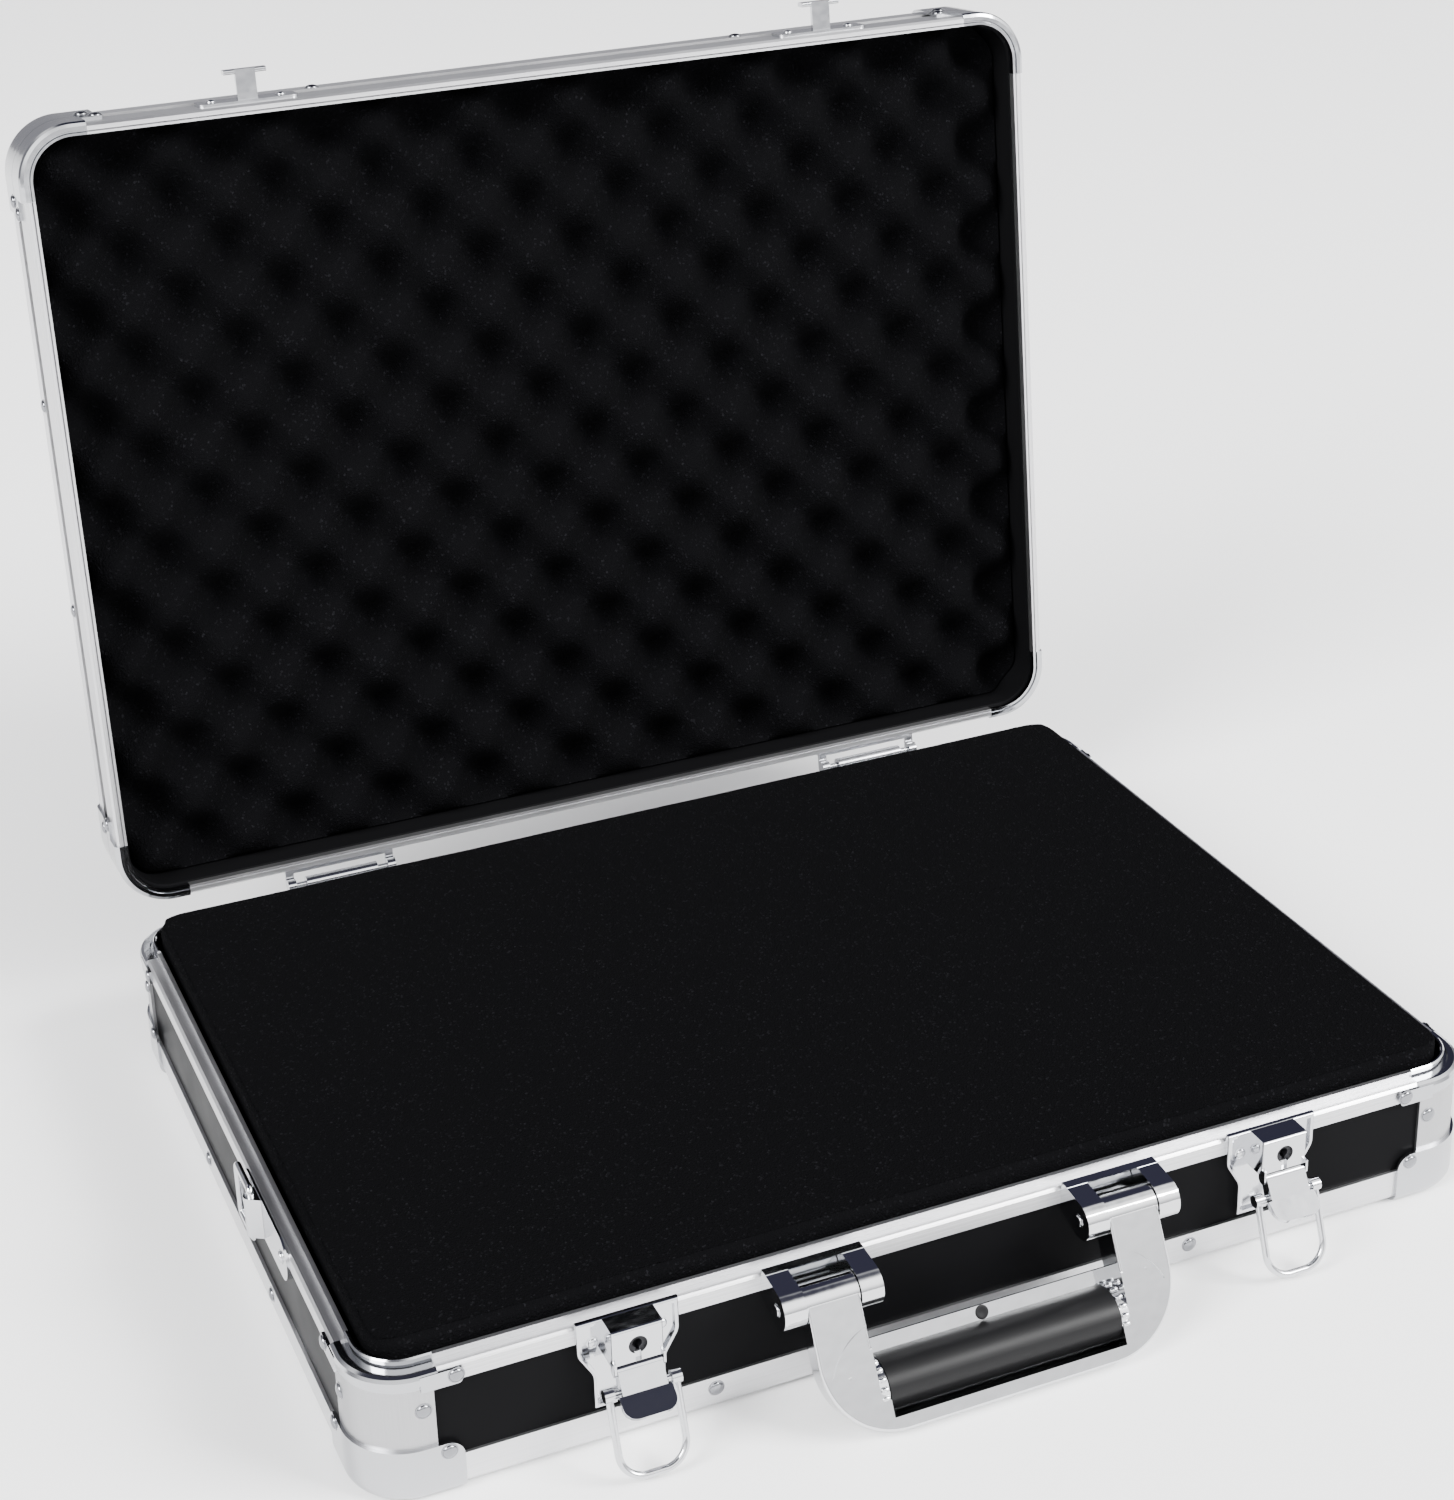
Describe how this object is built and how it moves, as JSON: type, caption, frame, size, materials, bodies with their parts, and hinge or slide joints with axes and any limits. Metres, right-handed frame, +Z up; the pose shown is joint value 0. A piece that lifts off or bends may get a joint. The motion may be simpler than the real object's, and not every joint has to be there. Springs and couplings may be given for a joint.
{
  "type": "flight case",
  "caption": "Shallow hard carrying case with a foam-lined hinged lid, metal edge trims and corners, toggle latches, a folding handle and a strap ring.",
  "frame": {"origin": "middle of the case's underside, on the surface it stands on", "axes": "+X to the right along the front, +Y to the back where the hinges are, +Z up"},
  "size_m": [0.4376, 0.4356, 0.3878],
  "materials": {
    "black_foam": "open-cell polyurethane foam, matt",
    "black_laminate": "fine-grained laminate, satin",
    "chromed_casting": "polished",
    "satin_aluminium": "satin anodised, fine lengthwise grooves",
    "brushed_sheet": "satin",
    "grip_plastic": "moulded, satin",
    "lock_steel": "plain",
    "chromed_steel": "polished"
  },
  "bodies": {
    "base": {"base_bottom_board": "black_laminate", "base_edge_trim": "satin_aluminium", "base_front_board": "black_laminate", "base_back_board": "black_laminate", "base_left_board": "black_laminate", "base_right_board": "black_laminate", "base_front_rim": "satin_aluminium", "base_back_rim": "satin_aluminium", "base_left_rim": "satin_aluminium", "base_right_rim": "satin_aluminium", "base_rim_corner_front_left": "chromed_casting", "base_rim_corner_front_right": "chromed_casting", "base_rim_corner_back_left": "chromed_casting", "base_rim_corner_back_right": "chromed_casting", "base_corner_sheet_front_left": "brushed_sheet", "base_corner_sheet_front_right": "brushed_sheet", "base_corner_sheet_back_left": "brushed_sheet", "base_corner_sheet_back_right": "brushed_sheet", "base_corner_cap_front_left": "chromed_casting", "base_corner_cap_front_right": "chromed_casting", "base_corner_cap_back_left": "chromed_casting", "base_corner_cap_back_right": "chromed_casting", "base_foam": "black_foam", "latch_left_plate": "chromed_steel", "handle_left_bracket": "chromed_steel", "hinge_left_base_leaf": "chromed_steel", "latch_right_plate": "chromed_steel", "handle_right_bracket": "chromed_steel", "hinge_right_base_leaf": "chromed_steel", "strap_left_plate": "chromed_steel"},
    "lid": {"lid_top_board": "black_laminate", "lid_edge_trim": "satin_aluminium", "lid_wall_boards": "black_laminate", "lid_front_rim": "satin_aluminium", "lid_back_rim": "satin_aluminium", "lid_left_rim": "satin_aluminium", "lid_right_rim": "satin_aluminium", "lid_corner_front_left": "chromed_casting", "lid_corner_front_right": "chromed_casting", "lid_corner_back_left": "chromed_casting", "lid_corner_back_right": "chromed_casting", "lid_foam": "black_foam", "latch_left_keeper": "chromed_steel", "hinge_left_lid_leaf": "chromed_steel", "latch_right_keeper": "chromed_steel", "hinge_right_lid_leaf": "chromed_steel"},
    "handle": {"handle_frame": "chromed_steel", "handle_grip": "grip_plastic"},
    "left_latch_lever": {"latch_left_lever": "chromed_steel"},
    "left_latch_bail": {"latch_left_bail": "chromed_steel"},
    "left_lock_plug": {"latch_left_lock_plug": "lock_steel"},
    "left_strap_ring": {"strap_left_ring": "chromed_steel"},
    "right_latch_lever": {"latch_right_lever": "chromed_steel"},
    "right_latch_bail": {"latch_right_bail": "chromed_steel"},
    "right_lock_plug": {"latch_right_lock_plug": "lock_steel"}
  },
  "joints": [
    {"name": "lid_hinge", "type": "hinge", "parent": "base", "child": "lid", "pos_m": [0, 0.1665, 0.0505], "axis": [1, 0, 0], "range_deg": [0, 95.7]},
    {"name": "handle_swing", "type": "hinge", "parent": "base", "child": "handle", "pos_m": [0, -0.1728, 0.0448], "axis": [-1, 0, 0], "range_deg": [0, 63]},
    {"name": "left_latch_lever_turn", "type": "hinge", "parent": "base", "child": "left_latch_lever", "pos_m": [-0.1235, -0.1705, 0.0375], "axis": [1, 0, 0], "range_deg": [-45, 20]},
    {"name": "left_latch_bail_swing", "type": "hinge", "parent": "left_latch_lever", "child": "left_latch_bail", "pos_m": [-0.1235, -0.17301, 0.03096], "axis": [-1, 0, 0], "range_deg": [-42, 181.7]},
    {"name": "left_lock_turn", "type": "hinge", "parent": "base", "child": "left_lock_plug", "pos_m": [-0.1235, -0.168, 0.046], "axis": [0, 1, 0], "range_deg": [0, 90]},
    {"name": "right_latch_lever_turn", "type": "hinge", "parent": "base", "child": "right_latch_lever", "pos_m": [0.1235, -0.1705, 0.0375], "axis": [1, 0, 0], "range_deg": [-45, 20]},
    {"name": "right_latch_bail_swing", "type": "hinge", "parent": "right_latch_lever", "child": "right_latch_bail", "pos_m": [0.1235, -0.17301, 0.03096], "axis": [-1, 0, 0], "range_deg": [-42, 181.7]},
    {"name": "right_lock_turn", "type": "hinge", "parent": "base", "child": "right_lock_plug", "pos_m": [0.1235, -0.168, 0.046], "axis": [0, 1, 0], "range_deg": [0, 90]},
    {"name": "left_strap_ring_swing", "type": "hinge", "parent": "base", "child": "left_strap_ring", "pos_m": [-0.2188, -0.046, 0.045], "axis": [0, 0, 1], "range_deg": [0, 165]}
  ]
}
